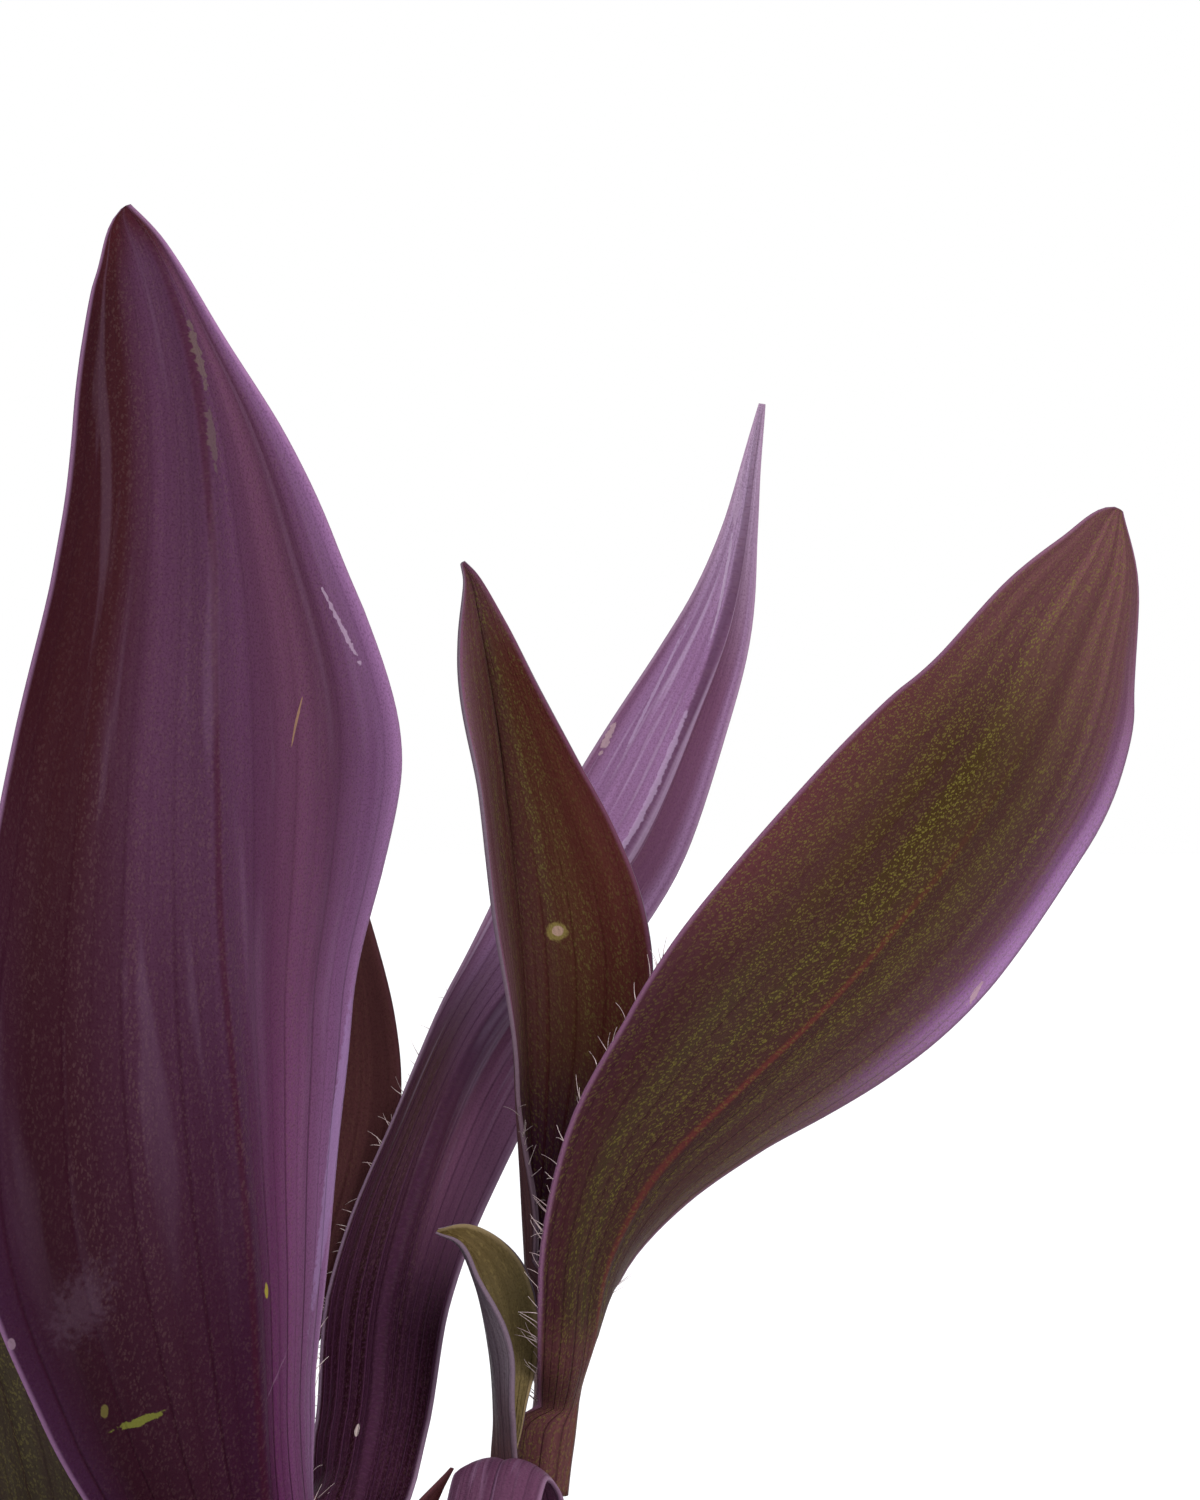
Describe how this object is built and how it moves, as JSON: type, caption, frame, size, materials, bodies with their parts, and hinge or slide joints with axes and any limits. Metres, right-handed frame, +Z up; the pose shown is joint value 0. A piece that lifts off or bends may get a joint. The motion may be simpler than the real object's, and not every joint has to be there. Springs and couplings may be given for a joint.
{
  "type": "potted purple heart plant",
  "caption": "Trailing houseplant with long folded purple and bronze strap leaves on jointed stems, growing in soil in a tapered clay pot with a rim band.",
  "frame": {"origin": "middle of the pot's foot, on the surface it stands on", "axes": "+Z up through the pot, +X to the right and +Y to the back as the picture looks at it"},
  "size_m": [0.2149, 0.1915, 0.2914],
  "materials": {
    "pot": "matte",
    "soil": "matte",
    "stem": "matte",
    "leaf_purple": "satin",
    "leaf_violet": "satin",
    "leaf_grey": "satin",
    "leaf_olive": "satin",
    "leaf_dark": "satin"
  },
  "bodies": {
    "root": {"pot": "pot", "soil": "soil", "stem_left": "stem", "leaf_left_low_left": "leaf_dark", "leaf_left_low_front": "leaf_dark", "leaf_left_hidden_tip": "leaf_dark", "leaf_left_tall_front": "leaf_purple", "leaf_left_slim_back": "leaf_violet", "leaf_left_young_back": "leaf_dark", "stem_middle": "stem", "leaf_middle_low_back": "leaf_dark", "leaf_middle_low_right": "leaf_dark", "leaf_middle_mid_back": "leaf_dark", "leaf_middle_bent_front": "leaf_grey", "leaf_middle_small_hook": "leaf_olive", "leaf_middle_broad_right": "leaf_olive", "leaf_middle_upright_middle": "leaf_olive", "stem_back_left": "stem", "leaf_back_left_low_back": "leaf_dark", "leaf_back_left_low_left": "leaf_dark", "leaf_back_left_corner": "leaf_olive", "stem_back": "stem", "leaf_back_low": "leaf_dark", "leaf_back_mid": "leaf_dark", "leaf_back_top": "leaf_dark", "stem_back_right": "stem", "leaf_back_right_low": "leaf_dark", "leaf_back_right_mid": "leaf_dark", "leaf_back_right_top": "leaf_dark", "stem_front_right": "stem", "leaf_front_right_low": "leaf_dark", "leaf_front_right_mid": "leaf_dark", "leaf_front_right_far": "leaf_dark", "leaf_front_right_tip": "leaf_dark", "stem_front_left": "stem", "leaf_front_left_low": "leaf_dark", "leaf_front_left_mid": "leaf_dark", "leaf_front_left_top": "leaf_dark"}
  },
  "joints": []
}
